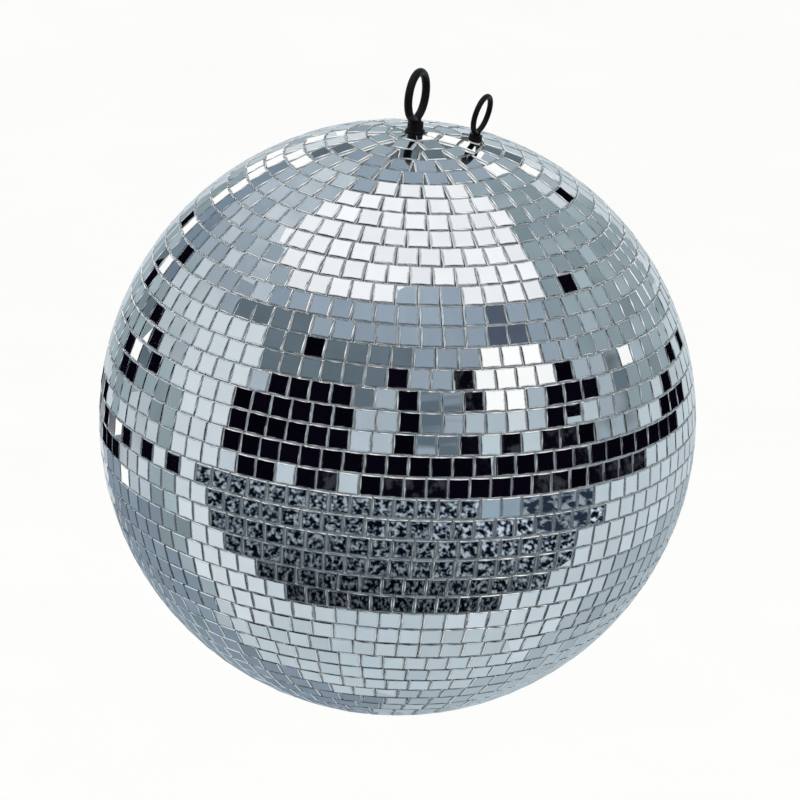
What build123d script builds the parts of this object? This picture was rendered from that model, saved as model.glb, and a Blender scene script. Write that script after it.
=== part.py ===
from build123d import *
import math
import os
import random

# A 30 cm mirror ball: glass facets in level rows on a moulded two-part core, hung from a main eye
# at the pole, with a smaller safety eye beside it. Millimetres, +Z up along the ball's axis, +X
# towards the safety eye. The origin is where a hook bears in the main eye, so the ball's centre
# lies below it. Heights named "..._radius" or "..._at" are distances from the ball's centre.

# Facets
ball_radius = 150.0  # to the middle of a facet's mirror face
facet_side = 10.0
facet_thickness = 1.5
row_gap = 0.58  # joint between two rows, at the mirror faces
side_gap = 0.42  # least joint between two facets of a row
adhesive = 0.3  # bed between a facet's back and the core
rows_per_half = 21
facets_per_strip = 7  # facets laid together before a wider joint
facet_tilt = 0.9  # degrees, how unevenly the facets are bedded
facet_turn = 1.4  # degrees
facet_drift = 0.11  # mm
nipped_count = 8  # facets cut to close the ring round a pole
nipped_inner = 5.6
nipped_gap = 0.4
pole_facet_radius = 5.0

# Core
core_radius = ball_radius - facet_thickness - adhesive
core_wall = 2.6
pad_wall = 6.0  # under the crown, where the eyes are fixed
pad_angle = 18.0  # degrees from the pole
lap_height = 6.0
lap_gap = 0.15

# Load plate and its screws
plate_clearance = 0.1
plate_thickness = 2.0
plate_angle = 17.0
screw_count = 4
screw_angle = 13.2  # degrees from the pole
screw_diameter = 3.0
screw_length = 6.4
screw_head_diameter = 6.0
screw_head_height = 2.0
screw_recess = (3.2, 0.8, 1.2)  # cross recess: length, width, depth
screw_play = 0.05

# Main eye, from the top down
main_wire = 4.1
main_loop_radius = 11.8  # to the wire's middle
main_leg = 2.0  # half the distance between the two legs
main_bend = 2.3
main_top_at = 182.6
main_turn = 61.6  # degrees from +X to the loop's plane
main_collar = (8.0, 3.8)  # diameter, height of the boss that the legs are welded to
main_flange = (9.9, 2.0)
main_flange_at = 149.3  # its underside
main_stud = 6.0
main_nut = (10.0, 6.0)  # across flats, height
main_washer = (14.0, 1.2)
main_bush = (9.0, 14.0, 1.4)  # body diameter, flange diameter, flange thickness

# Safety eye
safety_drop = 1.1  # how far below its row's middle it stands
safety_arc = (rows_per_half - 1.5) * (facet_side + row_gap) - safety_drop  # up from the equator
safety_angle = 90 - math.degrees(safety_arc / ball_radius)
safety_wire = 2.8
safety_loop_radius = 9.3
safety_leg = 1.5
safety_bend = 1.6
safety_top_at = 173.9
safety_turn = 60.0
safety_collar = (6.6, 1.8)
safety_flange = (7.2, 1.5)
safety_flange_at = 149.2
safety_stud = 4.0
safety_nut = (7.0, 5.0)
safety_washer = (9.0, 0.8)
safety_bush = (6.4, 10.0, 1.2)

# Fits of an eye
shaft_play = 0.05  # radial, between a stud and what it passes through
seat_play = 0.1  # radial, between a bush and its hole
bush_top_gap = 0.3
bush_seat_gap = 0.25  # a flat flange on the plate's hollow side
washer_gap = 0.05
stud_past_nut = 1.5

row_angle = math.degrees((facet_side + row_gap) / ball_radius)
plate_outer_radius = core_radius - pad_wall - plate_clearance
plate_inner_radius = plate_outer_radius - plate_thickness
hook_at = main_top_at - main_wire
centre = Vector(0, 0, -hook_at)
upright = Plane(origin=centre, x_dir=(1, 0, 0), z_dir=(0, -1, 0))  # X across, Z up
ball_axis = Axis(centre, (0, 0, 1))
random_source = random.Random(30)

os.makedirs("parts", exist_ok=True)


def save(built, name):
    """Labels a finished piece and writes it."""
    built.part.label = name
    export_step(built.part, f"parts/{name}.step")


def radial_plane(angle_from_pole, longitude, distance):
    """Plane across a radius of the ball, its X pointing east, at a distance from the centre."""
    polar, around = math.radians(angle_from_pole), math.radians(longitude)
    out = Vector(
        math.sin(polar) * math.cos(around),
        math.sin(polar) * math.sin(around),
        math.cos(polar),
    )
    east = Vector(-math.sin(around), math.cos(around), 0)
    return Plane(origin=centre + out * distance, x_dir=east, z_dir=out)


def on_circle(radius, angle_from_pole):
    """Point of a half section of the ball: distance from the axis, height over the centre."""
    angle = math.radians(angle_from_pole)
    return (radius * math.sin(angle), radius * math.cos(angle))


# ---- Facets ---------------------------------------------------------------------------------


def bedded(plane):
    """The same plane, leaning and turned a little, as facets are when laid by hand."""
    lean = random_source.uniform(-facet_tilt, facet_tilt)
    nod = random_source.uniform(-facet_tilt, facet_tilt)
    turn = random_source.uniform(-facet_turn, facet_turn)
    return plane.moved(Rotation(nod, lean, turn))


def strip_joints(count, slack):
    """Width of each joint of a row, in degrees: a wider one wherever a strip ends."""
    strips = max(1, count // facets_per_strip)
    ends = random_source.sample(range(count), strips)
    shares = [random_source.uniform(0.6, 1.4) + (3 if i in ends else 0) for i in range(count)]
    return [slack * share / sum(shares) for share in shares]


def facet_row(row):
    """Facets of one row. Rows 1 to 21 lie above the equator, rows -1 to -21 below it."""
    side = math.copysign(1, row)
    latitude = (abs(row) - 0.5) * row_angle
    back_circle = (ball_radius - facet_thickness) * math.cos(math.radians(latitude))
    nearest = back_circle - facet_side / 2 * math.sin(math.radians(latitude))
    width = 2 * math.degrees(math.atan((facet_side + side_gap) / 2 / nearest))
    count = int(360 // width)
    joints = strip_joints(count, 360 - count * width)
    holds_eye = row == rows_per_half - 1
    longitude = 0 if holds_eye else random_source.uniform(0, 360)
    # The corners of a flat facet reach past its row where the rows are tightly curved.
    corner_reach = facet_side**2 / 8 / (back_circle + facet_side / 2)
    height = facet_side - max(0, corner_reach - row_gap / 4)
    planes = []
    for index, joint in enumerate(joints):
        if not (holds_eye and index == 0):
            drift = math.degrees(random_source.uniform(-facet_drift, facet_drift) / ball_radius)
            angle_from_pole = 90 - side * latitude + drift
            planes.append(bedded(radial_plane(angle_from_pole, longitude, ball_radius)))
        longitude += width + joint
    with BuildPart() as facets:
        with BuildSketch(*planes):
            Rectangle(facet_side, height)
        extrude(amount=-facet_thickness)
    return facets


def nipped_ring(pole, with_middle):
    """Facets nipped to wedges round a pole: 1 is the top, -1 the bottom."""
    last_row_edge = ball_radius * math.cos(math.radians(rows_per_half * row_angle))
    outer_edge = (last_row_edge - nipped_gap) * math.cos(math.pi / nipped_count)
    middle = (nipped_inner + outer_edge) / 2
    half = (outer_edge - nipped_inner) / 2
    spread = math.tan(math.pi / nipped_count)
    wide = outer_edge * spread - nipped_gap / 2
    narrow = nipped_inner * spread - nipped_gap / 2
    from_pole = math.degrees(math.asin(middle / ball_radius))
    angle_from_pole = from_pole if pole > 0 else 180 - from_pole
    step = 360 / nipped_count
    planes = [
        bedded(radial_plane(angle_from_pole, (index + 0.5) * step, ball_radius))
        for index in range(nipped_count)
    ]
    with BuildPart() as ring:
        with BuildSketch(*planes):
            inner, outer = pole * half, -pole * half
            Polygon((-narrow, inner), (narrow, inner), (wide, outer), (-wide, outer), align=None)
        extrude(amount=-facet_thickness)
        if with_middle:
            with BuildSketch(radial_plane(180, 0, ball_radius)):
                RegularPolygon(pole_facet_radius, nipped_count)
            extrude(amount=-facet_thickness)
    return ring


for half_name, half_sign in (("upper", 1), ("lower", -1)):
    for number in range(1, rows_per_half + 1):
        save(facet_row(half_sign * number), f"facet_row_{half_name}_{number:02d}")

save(nipped_ring(1, with_middle=False), "nipped_facets_top")
save(nipped_ring(-1, with_middle=True), "nipped_facets_bottom")


# ---- Core -----------------------------------------------------------------------------------


def screw_plane(index, distance):
    """Plane across one plate screw's axis."""
    return radial_plane(screw_angle, (index + 0.5) * 360 / screw_count, distance)


main_plane = radial_plane(0, 0, 0)
safety_plane = radial_plane(safety_angle, 0, 0)
inner_radius = core_radius - core_wall
pad_radius = core_radius - pad_wall
lap_radius = core_radius - core_wall / 2
lap_inner = math.sqrt(inner_radius**2 - lap_height**2)
spigot_height = lap_height - lap_gap
spigot_inner = math.sqrt(inner_radius**2 - spigot_height**2)
lap_angle = math.degrees(math.acos(lap_height / inner_radius))
spigot_angle = math.degrees(math.acos(spigot_height / inner_radius))


eye_holes = [
    (main_plane, main_bush[0] / 2 + seat_play),
    (safety_plane, safety_bush[0] / 2 + seat_play),
]

with BuildPart() as upper_core:
    with BuildSketch(upright):
        with BuildLine():
            CenterArc((0, 0), core_radius, 0, 90)
            Line((0, core_radius), (0, pad_radius))
            CenterArc((0, 0), pad_radius, 90, -pad_angle)
            Line(on_circle(pad_radius, pad_angle), on_circle(inner_radius, pad_angle))
            CenterArc((0, 0), inner_radius, 90 - pad_angle, pad_angle - lap_angle)
            Polyline((lap_inner, lap_height), (lap_radius, lap_height), (lap_radius, 0), (core_radius, 0))
        make_face()
    revolve(axis=ball_axis)
    for eye_axis, hole_radius in eye_holes:
        with BuildSketch(eye_axis):
            Circle(hole_radius)
        extrude(amount=ball_radius, mode=Mode.SUBTRACT)
    with BuildSketch(*[screw_plane(i, pad_radius - 1) for i in range(screw_count)]):
        Circle(screw_diameter / 2 + screw_play)
    extrude(amount=screw_length - plate_thickness + 1.2, mode=Mode.SUBTRACT)
save(upper_core, "upper_core")

with BuildPart() as lower_core:
    with BuildSketch(upright):
        with BuildLine():
            CenterArc((0, 0), core_radius, 0, -90)
            Line((0, -core_radius), (0, -inner_radius))
            CenterArc((0, 0), inner_radius, -90, 180 - spigot_angle)
            spigot = lap_radius - lap_gap
            Polyline((spigot_inner, spigot_height), (spigot, spigot_height), (spigot, 0), (core_radius, 0))
        make_face()
    revolve(axis=ball_axis)
save(lower_core, "lower_core")


# ---- Load plate and screws ------------------------------------------------------------------

with BuildPart() as load_plate:
    with BuildSketch(upright):
        with BuildLine():
            CenterArc((0, 0), plate_outer_radius, 90, -plate_angle)
            Line(on_circle(plate_outer_radius, plate_angle), on_circle(plate_inner_radius, plate_angle))
            CenterArc((0, 0), plate_inner_radius, 90 - plate_angle, plate_angle)
            Line((0, plate_inner_radius), (0, plate_outer_radius))
        make_face()
    revolve(axis=ball_axis)
    for eye_axis, hole_radius in eye_holes:
        with BuildSketch(eye_axis):
            Circle(hole_radius)
        extrude(amount=ball_radius, mode=Mode.SUBTRACT)
    with BuildSketch(*[screw_plane(i, plate_inner_radius - 1) for i in range(screw_count)]):
        Circle(screw_diameter / 2 + 4 * screw_play)
    extrude(amount=plate_thickness + 2, mode=Mode.SUBTRACT)
save(load_plate, "load_plate")

head_planes = [screw_plane(i, plate_inner_radius - screw_play) for i in range(screw_count)]
with BuildPart() as plate_screws:
    with BuildSketch(*head_planes):
        Circle(screw_head_diameter / 2)
    extrude(amount=-screw_head_height)
    with BuildSketch(*head_planes):
        Circle(screw_diameter / 2)
    extrude(amount=screw_length)
    with BuildSketch(*[plane.offset(-screw_head_height) for plane in head_planes]):
        Rectangle(screw_recess[0], screw_recess[1])
        Rectangle(screw_recess[1], screw_recess[0])
    extrude(amount=screw_recess[2], mode=Mode.SUBTRACT)
save(plate_screws, "plate_screws")


# ---- Eyes -----------------------------------------------------------------------------------


def eye_loop(axis_plane, foot_at, turn, top_at, radius, wire, leg, bend):
    """Bent wire eye: most of a circle, with its two ends curved together into straight legs."""
    reach = leg + bend
    drop = math.sqrt((radius + bend) ** 2 - reach**2)
    lean = math.degrees(math.atan2(drop, reach))
    foot = foot_at - (top_at - wire / 2 - radius)
    turned = axis_plane.moved(Rotation(0, 0, turn - 90))
    loop_plane = Plane(
        origin=axis_plane.offset(top_at - wire / 2 - radius).origin,
        x_dir=turned.x_dir,
        z_dir=turned.x_dir.cross(axis_plane.z_dir),
    )
    with BuildPart() as loop:
        with BuildLine(loop_plane) as path:
            Line((leg, foot), (leg, -drop))
            CenterArc((reach, -drop), bend, 180, -lean)
            CenterArc((0, 0), radius, -lean, 180 + 2 * lean)
            CenterArc((-reach, -drop), bend, lean, -lean)
            Line((-leg, -drop), (-leg, foot))
        with BuildSketch(Plane(origin=path.line @ 0, z_dir=path.line % 0)):
            Circle(wire / 2)
        sweep()
    return loop


def eye_shank(axis_plane, collar, flange, flange_at, stud, stud_end):
    """Turned shank: collar under the loop's legs, flange at the mirror faces, stud below."""
    with BuildPart() as shank:
        with BuildSketch(axis_plane.offset(stud_end)):
            Circle(stud / 2)
        extrude(amount=flange_at - stud_end)
        chamfer(shank.edges().filter_by(GeomType.CIRCLE).group_by(Axis.Z)[0], stud / 12)
        with BuildSketch(axis_plane.offset(flange_at)):
            Circle(flange[0] / 2)
        extrude(amount=flange[1])
        rim = [e for e in shank.edges().filter_by(GeomType.CIRCLE) if e.radius > stud / 2 + 1]
        chamfer(rim, flange[1] / 5)
        with BuildSketch(axis_plane.offset(flange_at + flange[1])):
            Circle(collar[0] / 2)
        extrude(amount=collar[1])
    return shank


def ring(axis_plane, bottom, top, outer, inner):
    """Plain ring between two distances along an eye's axis."""
    with BuildPart() as made:
        with BuildSketch(axis_plane.offset(bottom)):
            Circle(outer / 2)
            Circle(inner / 2, mode=Mode.SUBTRACT)
        extrude(amount=top - bottom)
    return made


def flanged_bush(axis_plane, flange_bottom, top, sizes, inner):
    """Bush that lines the crown's hole, with its flange under the load plate."""
    body, flange, thickness = sizes
    with BuildPart() as bush:
        with BuildSketch(axis_plane.offset(flange_bottom)):
            Circle(flange / 2)
        extrude(amount=thickness)
        with BuildSketch(axis_plane.offset(flange_bottom + thickness)):
            Circle(body / 2)
        extrude(amount=top - flange_bottom - thickness)
        with BuildSketch(axis_plane.offset(flange_bottom)):
            Circle(inner / 2)
        extrude(amount=top - flange_bottom, mode=Mode.SUBTRACT)
    return bush


def lock_nut(axis_plane, bottom, top, across_flats, inner):
    """Hexagon nut with its outer corners turned down."""
    height = top - bottom
    with BuildPart() as nut:
        with BuildSketch(axis_plane.offset(bottom)):
            RegularPolygon(across_flats / 2, 6, major_radius=False)
        extrude(amount=height)
        with BuildSketch(axis_plane.offset(bottom)):
            Circle(across_flats * 0.55)
        extrude(amount=height, taper=-8, mode=Mode.INTERSECT)
        with BuildSketch(axis_plane.offset(bottom)):
            Circle(inner / 2)
        extrude(amount=height, mode=Mode.SUBTRACT)
    return nut


def eye(name, axis_plane, loop_sizes, collar, flange, flange_at, stud, bush, washer, nut):
    """All the pieces of one eye, from its loop down to its lock nut."""
    loop = eye_loop(axis_plane, flange_at + flange[1] + collar[1], *loop_sizes)
    bush_bottom = plate_inner_radius - bush_seat_gap - bush[2]
    washer_top = bush_bottom - washer_gap
    nut_top = washer_top - washer[1]
    nut_bottom = nut_top - nut[1]
    stud_end = nut_bottom - stud_past_nut
    bored = stud + 2 * shaft_play
    save(loop, f"{name}_loop")
    save(eye_shank(axis_plane, collar, flange, flange_at, stud, stud_end), f"{name}_shank")
    bush_top = flange_at - bush_top_gap
    save(flanged_bush(axis_plane, bush_bottom, bush_top, bush, bored), f"{name}_bush")
    save(ring(axis_plane, nut_top, washer_top, washer[0], bored), f"{name}_washer")
    save(lock_nut(axis_plane, nut_bottom, nut_top, nut[0], bored), f"{name}_lock_nut")


eye(
    "main_eye",
    main_plane,
    (main_turn, main_top_at, main_loop_radius, main_wire, main_leg, main_bend),
    main_collar,
    main_flange,
    main_flange_at,
    main_stud,
    main_bush,
    main_washer,
    main_nut,
)
eye(
    "safety_eye",
    safety_plane,
    (safety_turn, safety_top_at, safety_loop_radius, safety_wire, safety_leg, safety_bend),
    safety_collar,
    safety_flange,
    safety_flange_at,
    safety_stud,
    safety_bush,
    safety_washer,
    safety_nut,
)

print("ball centre is", round(hook_at, 2), "mm below the origin")
print("safety eye leans", round(safety_angle, 3), "degrees")
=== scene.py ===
"""Looks of the 30 cm mirror ball: silvered glass facets, dark core, black wire eyes and the studio."""
import math

import bmesh
import bpy
import numpy as np
from mathutils import Matrix, Vector


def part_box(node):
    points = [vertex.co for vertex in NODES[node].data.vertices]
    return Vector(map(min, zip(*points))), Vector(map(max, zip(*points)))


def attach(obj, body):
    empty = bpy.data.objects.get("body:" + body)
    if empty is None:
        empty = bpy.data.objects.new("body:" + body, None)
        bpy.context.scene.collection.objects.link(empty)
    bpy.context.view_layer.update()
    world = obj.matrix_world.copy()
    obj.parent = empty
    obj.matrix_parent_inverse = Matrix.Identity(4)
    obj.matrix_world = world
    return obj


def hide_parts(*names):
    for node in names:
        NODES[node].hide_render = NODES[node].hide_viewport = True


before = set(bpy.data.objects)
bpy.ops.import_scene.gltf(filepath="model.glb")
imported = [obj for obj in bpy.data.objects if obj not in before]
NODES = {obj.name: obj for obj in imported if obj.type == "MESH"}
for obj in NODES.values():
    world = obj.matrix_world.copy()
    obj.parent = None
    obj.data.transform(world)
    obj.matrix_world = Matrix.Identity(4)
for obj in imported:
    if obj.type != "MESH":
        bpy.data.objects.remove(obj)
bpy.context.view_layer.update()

MM = 0.001

# The two halves of the core meet on the equator, so the joint's height is the ball's centre.
CENTRE = Vector((0, 0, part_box("upper_core")[0].z))

# Camera: at the photograph's viewing angle, far off with a long lens, leaning a little.
CAMERA_AZIMUTH = math.radians(-7.6)
CAMERA_ELEVATION = math.radians(19.0)
CAMERA_LEAN = math.radians(3.5)
CAMERA_DISTANCE = 3.3
CAMERA_LENS = 295.0
CAMERA_SENSOR = 36.0
CAMERA_REACH = 100.0
CAMERA_AIM_UP = 8.6 * MM  # the ball sits a little low in the frame
CAMERA_AIM_RIGHT = 0.7 * MM

RIGHT = Vector((math.cos(CAMERA_AZIMUTH), math.sin(CAMERA_AZIMUTH), 0))
AWAY = Vector((-math.sin(CAMERA_AZIMUTH), math.cos(CAMERA_AZIMUTH), 0))


def direction(azimuth, elevation):
    """Direction from the ball, in degrees: azimuth 0 is the camera's side, 90 its right."""
    around, up = math.radians(azimuth), math.radians(elevation)
    level = RIGHT * math.sin(around) - AWAY * math.cos(around)
    return level * math.cos(up) + Vector((0, 0, math.sin(up)))


# ---- Helpers for materials ------------------------------------------------------------------


class Tree:
    """Short names for building one node tree."""

    def __init__(self, name):
        self.material = bpy.data.materials.new(name)
        self.material.use_nodes = True
        self.nodes = self.material.node_tree.nodes
        self.links = self.material.node_tree.links
        self.shader = self.nodes["Principled BSDF"]

    def node(self, kind, **settings):
        made = self.nodes.new(kind)
        for key, value in settings.items():
            setattr(made, key, value)
        return made

    def link(self, source, target):
        self.links.new(source, target)

    def noise(self, scale, detail=4.0, roughness=0.55, distortion=0.0):
        """Noise in metres of the row frame, so grain has a real size."""
        place = self.node("ShaderNodeTexCoord")
        noise = self.node("ShaderNodeTexNoise")
        noise.inputs["Scale"].default_value = scale
        noise.inputs["Detail"].default_value = detail
        noise.inputs["Roughness"].default_value = roughness
        noise.inputs["Distortion"].default_value = distortion
        self.link(place.outputs["Object"], noise.inputs["Vector"])
        return noise.outputs["Fac"]

    def ramp(self, value, stops):
        """Colour ramp; stops are (position, colour or grey)."""
        ramp = self.node("ShaderNodeValToRGB")
        elements = ramp.color_ramp.elements
        while len(elements) < len(stops):
            elements.new(0.5)
        for element, (position, colour) in zip(elements, stops):
            grey = isinstance(colour, (int, float))
            element.position = position
            element.color = (colour, colour, colour, 1) if grey else (*colour, 1)
        self.link(value, ramp.inputs["Fac"])
        return ramp.outputs["Color"]

    def span(self, value, low, high, from_low=0.0, from_high=1.0):
        """Value stretched from one range to another."""
        span = self.node("ShaderNodeMapRange")
        for key, number in zip(
            ("From Min", "From Max", "To Min", "To Max"), (from_low, from_high, low, high)
        ):
            span.inputs[key].default_value = number
        self.link(value, span.inputs["Value"])
        return span.outputs["Result"]

    def math(self, operation, first, second):
        """One operation on two values, each a socket or a number."""
        node = self.node("ShaderNodeMath", operation=operation)
        for socket, value in zip(node.inputs, (first, second)):
            if isinstance(value, (int, float)):
                socket.default_value = value
            else:
                self.link(value, socket)
        return node.outputs[0]

    def mix(self, factor, first, second, blend="MIX"):
        """Mixes two colours, each a socket or a tuple."""
        node = self.node("ShaderNodeMix", data_type="RGBA", blend_type=blend)
        sockets = (node.inputs[0], node.inputs[6], node.inputs[7])
        for socket, value in zip(sockets, (factor, first, second)):
            if isinstance(value, tuple):
                socket.default_value = (*value, 1)
            elif isinstance(value, (int, float)):
                socket.default_value = value
            else:
                self.link(value, socket)
        return node.outputs[2]

    def attribute(self, name):
        return self.node("ShaderNodeAttribute", attribute_name=name).outputs["Fac"]

    def bump(self, height, distance, strength=1.0):
        bump = self.node("ShaderNodeBump")
        bump.inputs["Distance"].default_value = distance
        bump.inputs["Strength"].default_value = strength
        self.link(height, bump.inputs["Height"])
        self.link(bump.outputs["Normal"], self.shader.inputs["Normal"])

    def fixed(self, **values):
        """Sets constant sockets of the shader; underscores stand for spaces."""
        for key, value in values.items():
            self.shader.inputs[key.replace("_", " ")].default_value = value


# ---- Materials ------------------------------------------------------------------------------


def silvered_face():
    """Mirror face of a facet: silver under glass, with a little dust, haze and an aged rim."""
    tree = Tree("silvered face")
    tree.fixed(Metallic=1.0, Coat_Weight=0.5, Coat_Roughness=0.0, Coat_IOR=1.5)
    shade = tree.attribute("facet_shade")
    rim = tree.attribute("facet_rim")
    silver = tree.ramp(shade, [
        (0.0, (0.76, 0.81, 0.86)),
        (0.5, (0.83, 0.87, 0.91)),
        (1.0, (0.88, 0.92, 0.95)),
    ])
    cloud = tree.noise(60, 3)
    clouded = tree.mix(tree.span(cloud, 0.0, 0.18, 0.35, 0.75), silver, (0.60, 0.65, 0.70))
    specks = tree.ramp(tree.noise(2600, 2, 0.7), [(0.66, 0.0), (0.74, 1.0)])
    dusty = tree.mix(tree.math("MULTIPLY", specks, 0.25), clouded, (0.52, 0.54, 0.56))
    aged = tree.math("MULTIPLY", rim, tree.span(tree.noise(900, 3), 0.15, 0.75, 0.35, 0.65))
    tree.link(tree.mix(aged, dusty, (0.30, 0.34, 0.38)), tree.shader.inputs["Base Color"])
    haze = tree.math("ADD", tree.span(cloud, 0.0, 0.012, 0.45, 0.8), tree.math("MULTIPLY", specks, 0.10))
    rough = tree.math("ADD", haze, tree.math("MULTIPLY", aged, 0.22))
    tree.link(rough, tree.shader.inputs["Roughness"])
    tree.bump(tree.math("ADD", tree.noise(55, 1), tree.math("MULTIPLY", aged, 0.4)), 0.0000012)
    return tree.material


def polished_arris():
    """Narrow bevel round a mirror face, which glints: polished glass with a few tiny chips."""
    tree = Tree("polished arris")
    tree.fixed(Metallic=1.0)
    chips = tree.noise(2400, 3, 0.7)
    colour = tree.ramp(chips, [
        (0.22, (0.50, 0.53, 0.55)),
        (0.30, (0.86, 0.88, 0.90)),
        (0.70, (0.92, 0.94, 0.95)),
    ])
    tree.link(colour, tree.shader.inputs["Base Color"])
    tree.link(tree.span(chips, 0.16, 0.11, 0.3, 0.6), tree.shader.inputs["Roughness"])
    tree.bump(tree.noise(900, 2), 0.000002)
    return tree.material


def cut_edge():
    """Snapped edge of a facet: dark glass by the face, and painted paler further down, a painted glow
    standing for light let through the glass.
    """
    tree = Tree("cut glass edge")
    tree.fixed(Metallic=0.35, IOR=1.5, Coat_Weight=0.5, Coat_Roughness=0.08)
    grain = tree.noise(1800, 4, 0.7)
    dark = tree.ramp(grain, [
        (0.3, (0.07, 0.09, 0.10)),
        (0.55, (0.13, 0.16, 0.175)),
        (0.75, (0.22, 0.26, 0.28)),
    ])
    # painted light: the edge's colour goes from dark to pale with depth, a painted glow standing for
    # light let through the glass
    painted_glow_mask = tree.span(tree.attribute("facet_depth"), 0, 1, 0.24, 0.5)
    colour = tree.mix(painted_glow_mask, dark, (0.50, 0.53, 0.55))
    tree.link(colour, tree.shader.inputs["Base Color"])
    tree.link(tree.span(grain, 0.18, 0.5, 0.3, 0.7), tree.shader.inputs["Roughness"])
    tree.bump(grain, 0.00008)
    return tree.material


def dried_adhesive():
    """Pale adhesive that was squeezed out round a facet's back, a little dusty."""
    tree = Tree("dried adhesive")
    tree.fixed(IOR=1.48, Coat_Weight=0.2, Coat_Roughness=0.3)
    smear = tree.noise(420, 4, 0.6, 0.6)
    film = tree.ramp(smear, [
        (0.32, (0.48, 0.50, 0.51)),
        (0.5, (0.60, 0.63, 0.64)),
        (0.68, (0.72, 0.74, 0.75)),
    ])
    tree.link(film, tree.shader.inputs["Base Color"])
    tree.link(tree.span(smear, 0.35, 0.65, 0.3, 0.7), tree.shader.inputs["Roughness"])
    tree.bump(smear, 0.00012)
    return tree.material


def core_plastic():
    """Dark moulded core under a thin smeared film of adhesive, with dust settled in the joints."""
    tree = Tree("core plastic with adhesive")
    tree.fixed(IOR=1.5)
    smear = tree.noise(95, 5, 0.6, 0.8)
    grain = tree.noise(1500, 3, 0.65)
    film = tree.ramp(smear, [
        (0.36, (0.035, 0.038, 0.042)),
        (0.56, (0.08, 0.085, 0.09)),
        (0.74, (0.22, 0.23, 0.24)),
    ])
    dusty = tree.mix(tree.span(grain, 0.0, 0.3, 0.5, 0.75), film, (0.16, 0.165, 0.17))
    tree.link(dusty, tree.shader.inputs["Base Color"])
    tree.link(tree.span(smear, 0.35, 0.7, 0.3, 0.7), tree.shader.inputs["Roughness"])
    tree.bump(tree.math("ADD", tree.math("MULTIPLY", smear, 3.0), grain), 0.00018)
    return tree.material


def black_coating():
    """Black coating on wire and turned steel: fine orange peel, rubbed thin in places."""
    tree = Tree("black coated steel")
    tree.fixed(IOR=1.5, Specular_IOR_Level=0.12, Coat_Weight=0.03, Coat_Roughness=0.25)
    peel = tree.noise(2200, 3, 0.6)
    rub = tree.noise(260, 5, 0.65, 0.4)
    colour = tree.ramp(rub, [
        (0.35, (0.002, 0.0018, 0.0028)),
        (0.6, (0.0035, 0.003, 0.0045)),
        (0.8, (0.016, 0.015, 0.018)),
    ])
    tree.link(colour, tree.shader.inputs["Base Color"])
    tree.link(tree.span(rub, 0.28, 0.5, 0.3, 0.75), tree.shader.inputs["Roughness"])
    tree.bump(peel, 0.00005)
    return tree.material


def zinc_plate():
    """Zinc plated steel: pale, faintly mottled, with fine turning marks."""
    tree = Tree("zinc plated steel")
    tree.fixed(Metallic=1.0)
    mottle = tree.noise(420, 4, 0.6)
    colour = tree.ramp(mottle, [(0.3, (0.46, 0.47, 0.49)), (0.7, (0.66, 0.67, 0.69))])
    tree.link(colour, tree.shader.inputs["Base Color"])
    tree.link(tree.span(mottle, 0.25, 0.5, 0.3, 0.7), tree.shader.inputs["Roughness"])
    tree.bump(tree.noise(3000, 2), 0.00003)
    return tree.material


def natural_nylon():
    """Natural nylon of the bushes: milky, with faint moulding flow."""
    tree = Tree("natural nylon")
    tree.fixed(IOR=1.53, Subsurface_Weight=0.15, Subsurface_Scale=0.001)
    flow = tree.noise(300, 3, 0.5, 1.2)
    colour = tree.ramp(flow, [(0.3, (0.66, 0.65, 0.60)), (0.7, (0.78, 0.77, 0.73))])
    tree.link(colour, tree.shader.inputs["Base Color"])
    tree.link(tree.span(flow, 0.35, 0.55, 0.3, 0.7), tree.shader.inputs["Roughness"])
    tree.bump(flow, 0.00005)
    return tree.material


SILVER = silvered_face()
ARRIS_GLASS = polished_arris()
EDGE = cut_edge()
ADHESIVE = dried_adhesive()
CORE = core_plastic()
BLACK = black_coating()
ZINC = zinc_plate()
NYLON = natural_nylon()


def wear(node, material):
    """Gives a CAD node its material."""
    mesh = NODES[node].data
    mesh.materials.clear()
    mesh.materials.append(material)


# ---- Facets ---------------------------------------------------------------------------------

ARRIS = 0.38 * MM  # width of the polished bevel round a mirror face
SQUEEZED = 0.24 * MM  # how far adhesive stands out round a facet's back
RIM = 0.9 * MM  # how far dirt and damp creep in from the edge
NIP = (0.12 * MM, 0.45 * MM)  # corners lost when a facet is snapped
WANDER = 0.07 * MM  # how far a snapped edge wanders inwards
BED = 1.17  # depth of the adhesive bed's underside, in thicknesses of the glass
EDGE_LEAN = 0.06 * MM  # how far a snapped edge leans in or out
HALFWAY = (0.5, 0.03 * MM)  # share of the glass's depth, and how far the edge has drawn in
NEAR_BACK = (0.75, 0.06 * MM)
TINT_SPREAD = 0.22  # how unevenly the facets' silver is tinted, of a range of 1
MITRE = 1.2  # a corner must move further than its edges do, so every point moves this much more
DEEPEST_INSET = 0.9  # of the way to the middle
BEND_MATERIALS = (0, 1, 2, 2, 3)  # slot of the faces below each level of a facet's outline


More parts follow.
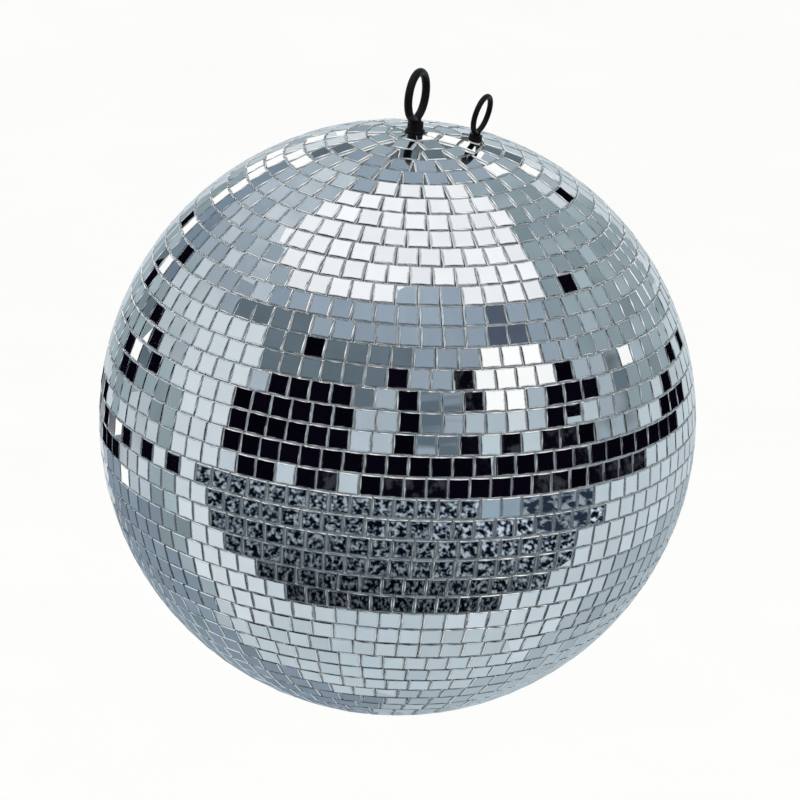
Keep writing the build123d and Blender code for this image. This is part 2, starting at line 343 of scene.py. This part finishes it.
def facet_outlines(node):
    """Front corners, in order, of every facet of a CAD node, with its outward normal and depth."""
    shape = bmesh.new()
    shape.from_mesh(NODES[node].data)
    bmesh.ops.remove_doubles(shape, verts=shape.verts, dist=0.02 * MM)
    shape.verts.ensure_lookup_table()
    unseen = set(range(len(shape.verts)))
    outlines = []
    while unseen:
        island, edge = set(), [min(unseen)]
        while edge:
            vert = shape.verts[edge.pop()]
            if vert.index in unseen:
                unseen.discard(vert.index)
                island.add(vert.index)
                edge.extend(e.other_vert(vert).index for e in vert.link_edges)
        points = [shape.verts[i].co.copy() for i in sorted(island)]
        middle = sum(points, Vector()) / len(points)
        out = (middle - CENTRE).normalized()
        front = [p for p in points if (p - middle).dot(out) > 0]
        back = [p for p in points if (p - middle).dot(out) <= 0]
        face = sum(front, Vector()) / len(front)
        normal = (face - sum(back, Vector()) / len(back)).normalized()
        east = (front[0] - face).normalized()
        north = normal.cross(east)
        front.sort(key=lambda p: math.atan2((p - face).dot(north), (p - face).dot(east)))
        depth = (face - sum(back, Vector()) / len(back)).length
        outlines.append((front, normal, depth))
    shape.free()
    return outlines


def snapped_outline(corners, normal, chance):
    """A facet's outline as its cut really ran: nipped corners and edges that wander inwards."""
    outline = []
    middle = sum(corners, Vector()) / len(corners)
    next_ones, last_ones = corners[1:] + corners[:1], corners[-1:] + corners[:-1]
    for corner, following, before in zip(corners, next_ones, last_ones):
        ahead, behind = (following - corner).normalized(), (before - corner).normalized()
        outline.append(corner + behind * chance.uniform(*NIP))
        outline.append(corner + ahead * chance.uniform(*NIP))
        halfway = (corner + following) / 2
        inwards = (middle - halfway).normalized()
        outline.append(halfway + inwards * chance.uniform(0, WANDER))
    return outline, middle


def inset(outline, middle, amount):
    """Outline pulled in towards its middle by an even amount."""
    shares = [min(DEEPEST_INSET, amount / (middle - p).length * MITRE) for p in outline]
    return [p + (middle - p) * share for p, share in zip(outline, shares)]


def facet_piece(node):
    """Detailed facets that stand for one CAD row: mirror face, bevel, snapped edges, adhesive bed."""
    chance = np.random.default_rng(sum(map(ord, node)))
    shape = bmesh.new()
    shade_layer = shape.verts.layers.float.new("facet_shade")
    rim_layer = shape.verts.layers.float.new("facet_rim")
    depth_layer = shape.verts.layers.float.new("facet_depth")
    for corners, normal, depth in facet_outlines(node):
        outline, middle = snapped_outline(corners, normal, chance)
        shade = float(np.clip(chance.normal(0.5, TINT_SPREAD), 0, 1))
        taper = chance.uniform(-EDGE_LEAN, EDGE_LEAN)
        levels = [
            (inset(outline, middle, RIM), 0.0, 0.0),
            (inset(outline, middle, ARRIS), 0.0, 1.0),
            (outline, -ARRIS, 1.0),
            (inset(outline, middle, HALFWAY[1]), -HALFWAY[0] * depth, 1.0),
            (inset(outline, middle, NEAR_BACK[1] + taper), -NEAR_BACK[0] * depth, 1.0),
            (inset(outline, middle, taper - SQUEEZED), -BED * depth, 1.0),
        ]
        rings = []
        for points, drop, rim in levels:
            ring = [shape.verts.new(p + normal * drop) for p in points]
            for vert in ring:
                vert[shade_layer] = shade
                vert[rim_layer] = rim
                vert[depth_layer] = -drop / depth
            rings.append(ring)
        shape.faces.new(rings[0]).material_index = 0
        for index, (upper, lower) in enumerate(zip(rings, rings[1:])):
            around = zip(upper, upper[1:] + upper[:1], lower, lower[1:] + lower[:1])
            for a, b, c, d in around:
                shape.faces.new((a, c, d, b)).material_index = BEND_MATERIALS[index]
        shape.faces.new(rings[-1][::-1]).material_index = 3
    mesh = bpy.data.meshes.new(node)
    shape.normal_update()
    shape.to_mesh(mesh)
    shape.free()
    for material in (SILVER, ARRIS_GLASS, EDGE, ADHESIVE):
        mesh.materials.append(material)
    piece = bpy.data.objects.new(f"glass_{node}", mesh)
    bpy.context.scene.collection.objects.link(piece)
    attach(piece, "ball")
    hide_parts(node)


FACET_NODES = [name for name in sorted(NODES) if name.startswith(("facet_row", "nipped_facets"))]
for facet_node in FACET_NODES:
    facet_piece(facet_node)


# ---- CAD nodes that keep their shape --------------------------------------------------------

for core_node in ("upper_core", "lower_core"):
    wear(core_node, CORE)
for steel_node in ("load_plate", "plate_screws"):
    wear(steel_node, ZINC)
for eye in ("main_eye", "safety_eye"):
    wear(f"{eye}_loop", BLACK)
    wear(f"{eye}_shank", BLACK)
    wear(f"{eye}_bush", NYLON)
    wear(f"{eye}_washer", ZINC)
    wear(f"{eye}_lock_nut", ZINC)


# ---- Stage: floor, lights and what the mirrors see ------------------------------------------

FLOOR_DROP = 3.6  # from the ball's centre
ROOM_RADIUS = 7.0
LAYER = 0.15  # how much nearer each next layer of the surroundings stands
COLUMN_STEP = 4  # degrees, at most, between the columns of a surface's mesh
ROW_STEP = 5  # degrees, at most, between its rows
FLOOR_HALF = 60.0
LAMP_DISTANCE = 2.0
STREWN_SLANT = 0.6  # of a strewn thing's height, at most


def stage_object(mesh, material):
    """Puts a mesh of the studio into the scene."""
    mesh.materials.append(material)
    made = bpy.data.objects.new(mesh.name, mesh)
    bpy.context.scene.collection.objects.link(made)
    return made


def surround(name, edges, material, layer=1):
    """Part of what only the mirrors see, between a lower and an upper edge.

    The edges are a few (azimuth, lower elevation, upper elevation), in degrees from the ball.
    """
    columns = []
    for left, right in zip(edges, edges[1:]):
        steps = max(1, math.ceil((right[0] - left[0]) / COLUMN_STEP))
        for step in range(steps):
            columns.append([a + (b - a) * step / steps for a, b in zip(left, right)])
    columns.append(list(edges[-1]))
    tallest = max(high - low for _, low, high in columns)
    rows = max(2, math.ceil(tallest / ROW_STEP) + 1)
    places = [
        (azimuth, low + (high - low) * row / (rows - 1))
        for azimuth, low, high in columns
        for row in range(rows)
    ]
    distance = ROOM_RADIUS - LAYER * layer
    faces = [
        (here - rows - 1, here - 1, here, here - rows)
        for here in range(rows, len(places))
        if here % rows
    ]
    mesh = bpy.data.meshes.new(name)
    mesh.from_pydata([CENTRE + direction(*place) * distance for place in places], [], faces)
    for axis, label in enumerate(("azimuth", "elevation")):
        layer_data = mesh.attributes.new(label, "FLOAT", "POINT")
        layer_data.data.foreach_set("value", [place[axis] for place in places])
    made = stage_object(mesh, material)
    made.visible_camera = False
    made.visible_diffuse = False
    made.visible_shadow = False
    made.visible_transmission = False


class Backdrop(Tree):
    """A surface that only the mirrors see: it glows evenly and lights nothing."""

    def __init__(self, name):
        super().__init__(name)
        self.nodes.remove(self.shader)
        self.emission = self.node("ShaderNodeEmission")
        self.link(self.emission.outputs[0], self.nodes["Material Output"].inputs["Surface"])

    def angular_noise(self, across, upwards, detail=3.0, roughness=0.55, seed=0.0):
        """Noise with so many features to a degree across and upwards."""
        place = self.node("ShaderNodeCombineXYZ")
        self.link(self.math("MULTIPLY", self.attribute("azimuth"), across), place.inputs[0])
        self.link(self.math("MULTIPLY", self.attribute("elevation"), upwards), place.inputs[1])
        place.inputs[2].default_value = seed
        noise = self.node("ShaderNodeTexNoise")
        noise.inputs["Scale"].default_value = 1.0
        noise.inputs["Detail"].default_value = detail
        noise.inputs["Roughness"].default_value = roughness
        self.link(place.outputs[0], noise.inputs["Vector"])
        return noise.outputs["Fac"]

    def paint(self, colour):
        self.link(colour, self.emission.inputs["Color"])
        return self.material


def shaded(colour, amount):
    return tuple(channel * amount for channel in colour)


def plain_cloth(name, colour, unevenness=0.12, across=0.25, upwards=0.2):
    """Plain surface with a soft unevenness."""
    tree = Backdrop(name)
    uneven = tree.span(tree.angular_noise(across, upwards, 5, 0.65), 0, 1, 0.35, 0.65)
    return tree.paint(tree.mix(uneven, shaded(colour, 1 - unevenness), shaded(colour, 1 + unevenness)))


def mottled(name, dark, light, share, across=0.5, upwards=0.5, seed=0.0, softness=0.05):
    """Two tones in patches; share is how much of it is the dark tone."""
    tree = Backdrop(name)
    patches = tree.angular_noise(across, upwards, 4, 0.6, seed)
    lowest, spread = 0.38, 0.24  # of nearly all the noise's values
    edge = lowest + spread * share
    return tree.paint(tree.ramp(patches, [(edge - softness, dark), (edge + softness, light)]))


def room_wall():
    """Walls of the room: pale low down, greyer and bluer towards the ceiling."""
    tree = Backdrop("room wall")
    height = tree.span(tree.attribute("elevation"), 0, 1, -90, 90)
    tone = tree.ramp(height, [
        (0.00, (0.56, 0.63, 0.66)),
        (0.17, (0.58, 0.64, 0.67)),
        (0.30, (0.56, 0.62, 0.65)),
        (0.47, (0.54, 0.60, 0.63)),
        (0.53, (0.52, 0.59, 0.61)),
        (0.60, (0.42, 0.48, 0.52)),
        (0.70, (0.28, 0.33, 0.38)),
        (0.86, (0.33, 0.39, 0.45)),
    ])
    uneven = tree.span(tree.angular_noise(0.35, 0.08, 6, 0.65), 0, 1, 0.35, 0.65)
    return tree.paint(tree.mix(uneven, tone, shaded((1, 1, 1), 1.22), "MULTIPLY"))


def speckled_rug():
    """Dark rug with a fine pale fleck, darker at its near edge and paler to the right."""
    tree = Backdrop("speckled rug")
    fleck = tree.angular_noise(12.5, 13.5, 1.5, 0.7)
    colour = tree.ramp(fleck, [
        (0.44, (0.002, 0.003, 0.007)),
        (0.48, (0.045, 0.06, 0.08)),
        (0.53, (0.18, 0.22, 0.26)),
        (0.65, (0.54, 0.60, 0.64)),
    ])
    depth = tree.span(tree.attribute("elevation"), 0.25, 0.88, -52, -22)
    across = tree.span(tree.attribute("azimuth"), 0.92, 1.6, 0, 60)
    tree.link(tree.math("MULTIPLY", depth, across), tree.emission.inputs["Strength"])
    return tree.paint(colour)


def build_floor():
    """Plain pale floor, well below the hanging ball."""
    tree = Tree("pale floor")
    tree.fixed(Roughness=0.9)
    tree.link(tree.ramp(tree.noise(3, 2), [(0.3, 0.975), (0.7, 0.99)]), tree.shader.inputs["Base Color"])
    height = CENTRE.z - FLOOR_DROP
    corners = [(x * FLOOR_HALF, y * FLOOR_HALF, height) for x, y in ((-1, -1), (1, -1), (1, 1), (-1, 1))]
    mesh = bpy.data.meshes.new("floor")
    mesh.from_pydata(corners, [], [(0, 1, 2, 3)])
    stage_object(mesh, tree.material).visible_glossy = False


CEILING = plain_cloth("overhead softbox", (1.04, 1.02, 1.01), 0.07, 0.1, 0.1)
PALE_WALL = plain_cloth("pale side wall", (0.72, 0.77, 0.79), 0.07)
SIDE_WALL = mottled(
    "side wall", (0.38, 0.44, 0.47), (0.68, 0.74, 0.76), 0.45, 0.12, 0.12, 13.0, 0.12
)
HIGH_WALL = mottled(
    "wall above", (0.34, 0.41, 0.46), (0.66, 0.71, 0.74), 0.55, 0.28, 0.28, 11.0, 0.12
)
BLACK_THING = plain_cloth("black furniture", (0.0022, 0.0014, 0.0045), 0.4)
DARK_WOOD = mottled("dark wood", (0.003, 0.002, 0.005), (0.04, 0.042, 0.05), 0.6, 5, 4)
SLATE = plain_cloth("slate grey boards", (0.135, 0.175, 0.20), 0.2, 0.15, 0.3)
BLUE_PANEL = plain_cloth("blue grey panel", (0.10, 0.12, 0.16), 0.25)
GRILLE = mottled("grey grille", (0.12, 0.16, 0.19), (0.36, 0.42, 0.47), 0.5, 0.1, 1.2)
WINDOW = plain_cloth("window", (1.16, 1.13, 1.07), 0.02)
PLAIN_MAT = plain_cloth("blue grey mat", (0.27, 0.34, 0.40), 0.2)
GRAINED_MAT = mottled("grained mat", (0.02, 0.03, 0.05), (0.32, 0.38, 0.42), 0.6, 6, 9)
SHADED_FLOOR = plain_cloth("floor in shadow", (0.24, 0.30, 0.355), 0.18)
RIGHT_FLOOR = plain_cloth("floor at the right", (0.42, 0.49, 0.53), 0.12)
BLUE_CORNER = plain_cloth("blue corner", (0.22, 0.28, 0.34), 0.25)
TABLE_TOP = plain_cloth("white table", (0.56, 0.63, 0.66), 0.08, 0.12, 0.3)
CLUTTER = mottled("desk clutter", (0.002, 0.002, 0.004), (0.40, 0.46, 0.50), 0.3, 0.35, 0.3, 3.0)
SHELVES = mottled(
    "crowded shelves", (0.002, 0.002, 0.005), (0.82, 0.88, 0.92), 0.55, 0.17, 0.12, 7.0, 0.1
)
CURTAIN = mottled(
    "curtain folds", (0.22, 0.28, 0.30), (0.42, 0.50, 0.53), 0.5, 0.30, 0.05, 5.0, 0.12
)


def build_walls():
    """Room, overhead softbox, side walls and the table under the ball."""
    surround("room", [(-180, -90, 90), (180, -90, 90)], room_wall(), 0)
    surround("overhead", [
        (-180, 59, 90), (-154, 61, 90), (-132, 58, 90), (-112, 47, 90), (-91, 53, 90),
        (-73, 51, 90), (-60, 52, 90), (-30, 59, 90), (0, 67, 90), (35, 66, 90), (60, 51, 90),
        (94, 45, 90), (101, 50, 90), (127, 55, 90), (149, 52, 90), (165, 56, 90), (180, 59, 90),
    ], CEILING)
    surround("pale_wall", [(-100, -62, 30), (-92, -62, 31), (-66, -60, 34)], PALE_WALL)
    surround("side_wall", [(-128, -62, 24), (-112, -62, 29), (-100, -62, 30)], SIDE_WALL)
    surround("high_wall", [(-165, 22, 60), (-112, 29, 56), (-92, 38, 55), (-78, 40, 52)], HIGH_WALL)
    surround("table", [(-180, -90, -61), (180, -90, -61)], TABLE_TOP)
    surround("curtain", [(84, -2, 42), (116, 0, 52), (158, 0, 58)], CURTAIN)
    surround("far_curtain", [(-160, -14, 24), (-126, -12, 22)], CURTAIN)


def build_fittings():
    """Boards, rails, the window and the rug."""
    surround("beam", [(-93, 30, 33), (-78, 33, 39), (-66, 35, 41)], SLATE, 2)
    surround("boards", [
        (-66, 20, 45), (-54, 27, 46), (-35, 26, 45), (-18, 24, 45), (6, 33, 44),
    ], SLATE, 2)
    surround("rail", [(49, 46, 52), (70, 44, 48)], BLUE_PANEL, 2)
    surround("lower_rail", [(43, 41, 46), (63, 38, 42)], BLUE_PANEL, 2)
    surround("grille", [(6, 3, 28), (24, 3, 28)], GRILLE, 2)
    surround("window", [
        (31, 19, 23), (37, 18, 41), (50, 21, 40), (66, 21, 36), (67, 21, 29), (72, 20, 26),
    ], WINDOW, 2)
    surround("low_window", [(42, 12, 22), (49, 12, 22)], PALE_WALL, 2)
    surround("rug", [
        (-77, -27, -17), (-70, -33, -15), (-63, -43, -13), (-50, -58, -13), (-30, -60, -13),
        (35, -60, -13), (60, -54, -14), (70, -46, -15), (80, -35, -16), (88, -22, -18),
    ], speckled_rug(), 2)


def build_dark_things():
    """Furniture and other dark things against the walls."""
    for name, edges in (
        ("cabinet", [(-67, -5, 15), (-54, -5, 17), (-20, -5, 20)]),
        ("cabinet_top", [(-53, 16, 25), (-20, 19, 28)]),
        ("cabinet_foot", [(-62, -13, -5), (-47, -13, -5)]),
        ("crate", [(-39, -13, -5), (-31, -13, -5)]),
        ("wall_lamp", [(-45, 34, 40), (-37, 34, 40)]),
        ("stand", [(-2.5, 12, 36), (6.5, 12, 36)]),
        ("stand_foot", [(1.5, 3, 12), (10, 3, 12)]),
        ("shelf", [(-15, -4, 3), (33, -4, 3)]),
        ("shelf_foot", [(-12, -12, -4), (-5, -12, -4)]),
        ("desk", [(41, -5, 0.5), (73, -6.5, -1)]),
        ("desk_end", [(80, -8, -2), (108, -11, -5), (128, -12, -5), (142, -10, -6)]),
        ("drawers", [(19, -12, -5), (50, -12, -5)]),
        ("drawers_right", [(68, -13, -7), (78, -14, -8)]),
        ("speaker_top", [(72, 20, 27), (79, 19, 25)]),
        ("speaker", [(66, 12, 20), (80, 10, 20), (84, 10, 15)]),
        ("speaker_left", [(57, 8, 15), (71, 8, 14)]),
        ("speaker_foot", [(74, 0, 6), (82, 0, 5)]),
        ("lamp", [(98, 38, 40), (102, 37, 43), (107, 38, 40)]),
        ("lamp_arm", [(105, 33, 39), (112, 33, 38)]),
        ("frame_foot", [(26, 3, 10), (34, 3, 10)]),
        ("far_rail", [(-157, 1, 4.5), (-146, 0.5, 4), (-136, 1, 4)]),
        ("far_post", [(-134.5, 12, 19), (-132.5, 12, 19)]),
        ("far_step", [(-141, -8, -3), (-130, -7.5, -4), (-121, -8.5, -6)]),
        ("far_box", [(-155, -21, -15), (-143, -21, -16)]),
        ("far_foot", [(-119, -23, -19.5), (-116, -23, -20)]),
        ("ledge_box", [(-106, -18.5, -15.5), (-103, -18, -15)]),
        ("ledge_foot", [(-93.5, -14.5, -11.5), (-91, -14.5, -11.5)]),
        ("wall_plug", [(92, 15, 19), (96, 15, 19)]),
        ("wall_box", [(94, 25, 29), (98, 25, 29)]),
        ("wall_knob", [(108, 5, 8), (112, 5, 8)]),
    ):
        surround(name, edges, BLACK_THING, 3)
    for name, edges in (
        ("frame", [(24, 12, 27), (31, 12, 27)]),
        ("frame_top", [(27, 28, 35), (34, 28, 35)]),
        ("crate_right", [(-30, -13, -5), (-21, -13, -5)]),
        ("stool", [(-5, -12, -4), (19, -12, -4)]),
        ("desk_things", [(40, 3, 11), (50, 3, 10)]),
        ("desk_back", [(50, -12, -6), (67, -13, -6)]),
        ("speaker_shade", [(57, 2, 8), (72, 2, 8)]),
        ("drawers_end", [(80, -15, -9), (113, -16, -11)]),
    ):
        surround(name, edges, DARK_WOOD, 3)


def build_low_things():
    """Clutter, shelves, shaded floor and mats, lower down and further round."""
    surround("clutter", [(82, -3, 22), (104, -4, 18)], CLUTTER, 2)
    surround("left_shelves", [
        (-162, -10, 9), (-140, -16, 9), (-122, -10, 9), (-104, 0, 5),
    ], CURTAIN, 2)
    surround("left_cupboard", [(-104, -15, 2), (-91, -16, 1)], CURTAIN, 2)
    surround("left_floor", [(-112, -50, -22), (-93, -36, -20)], CURTAIN, 2)
    surround("left_ledge", [
        (-168, -26, -17), (-120, -22, -15), (-104, -17, -13), (-92, -14, -11),
    ], SHELVES, 2)
    surround("far_floor", [(-180, -66, -24), (-140, -62, -20), (-112, -50, -30)], SHADED_FLOOR, 2)
    surround("far_floor_right", [(112, -50, -34), (140, -62, -24), (180, -66, -16)], RIGHT_FLOOR, 2)
    surround("left_corner", [(-168, 5, 26), (-128, 8, 22)], BLUE_CORNER, 1.5)
    surround("mat", [(31, -20, -13), (54, -20, -13)], PLAIN_MAT, 3)
    surround("mat_end", [(54, -26, -13), (84, -24, -14)], GRAINED_MAT, 3)


def strew(name, count, azimuths, elevations, sizes, kinds, seed):
    """Small slanted things, strewn over a stretch of the surroundings."""
    chance = np.random.default_rng(seed)
    for number in range(count):
        azimuth, low = chance.uniform(*azimuths), chance.uniform(*elevations)
        width, height = chance.uniform(*sizes), chance.uniform(*sizes)
        slant = chance.uniform(-STREWN_SLANT, STREWN_SLANT) * height
        edges = [(azimuth, low, low + height), (azimuth + width, low + slant, low + height + slant)]
        surround(f"{name}_{number:02d}", edges, kinds[number % len(kinds)], 3 + number % 3)


def build_strewn_things():
    """Small bits of the room's edges, which only a chance facet mirrors."""
    for seed, (name, count, azimuths, elevations, sizes, kinds) in enumerate((
        ("far_thing", 22, (158, 196), (2, 34), (3, 12),
         (SLATE, WINDOW, CURTAIN, CURTAIN, PALE_WALL, SLATE)),
        ("left_bit", 52, (-160, -112), (-9, 13), (1.2, 4.5),
         (BLACK_THING, WINDOW, BLACK_THING, PALE_WALL, SLATE)),
        ("left_low_bit", 30, (-150, -92), (-24, -12), (1.2, 4),
         (BLACK_THING, WINDOW, BLACK_THING, SLATE)),
        ("right_bit", 38, (92, 156), (-10, 24), (1, 3.5),
         (BLACK_THING, BLACK_THING, WINDOW, SLATE)),
        ("right_glint", 12, (130, 172), (16, 38), (1.5, 4),
         (WINDOW, PALE_WALL)),
    )):
        strew(name, count, azimuths, elevations, sizes, kinds, seed)


def build_lights():
    """Soft studio light for what isn't a mirror."""
    world = bpy.data.worlds.new("studio")
    world.use_nodes = True
    world.node_tree.nodes["Background"].inputs["Color"].default_value = (0.985, 0.985, 0.975, 1)
    world.node_tree.nodes["Background"].inputs["Strength"].default_value = 1.0
    bpy.context.scene.world = world
    for name, azimuth, elevation, size, power in (
        ("key", -40, 55, 1.2, 30),
        ("fill", 70, 30, 1.6, 12),
    ):
        lamp = bpy.data.lights.new(name, "AREA")
        lamp.size = size
        lamp.energy = power
        holder = bpy.data.objects.new(name, lamp)
        holder.location = CENTRE + direction(azimuth, elevation) * LAMP_DISTANCE
        holder.rotation_mode = "QUATERNION"
        holder.rotation_quaternion = (CENTRE - holder.location).to_track_quat("-Z", "Y")
        holder.visible_glossy = False
        holder.visible_camera = False
        bpy.context.scene.collection.objects.link(holder)


def build_camera():
    """Camera at the photograph's angle."""
    data = bpy.data.cameras.new("camera")
    data.lens = CAMERA_LENS
    data.sensor_width = CAMERA_SENSOR
    data.clip_end = CAMERA_REACH
    camera = bpy.data.objects.new("camera", data)
    bpy.context.scene.collection.objects.link(camera)
    towards = direction(0, math.degrees(CAMERA_ELEVATION))
    camera_up = RIGHT.cross(-towards)
    aim = CENTRE + camera_up * CAMERA_AIM_UP + RIGHT * CAMERA_AIM_RIGHT
    camera.location = aim + towards * CAMERA_DISTANCE
    look = (-towards).to_track_quat("-Z", "Y").to_matrix().to_4x4()
    lean = Matrix.Rotation(CAMERA_LEAN, 4, "Z")
    camera.matrix_world = Matrix.Translation(camera.location) @ look @ lean
    bpy.context.scene.camera = camera


bpy.context.scene.view_settings.view_transform = "Standard"
build_camera()
build_floor()
build_walls()
build_fittings()
build_dark_things()
build_low_things()
build_strewn_things()
build_lights()
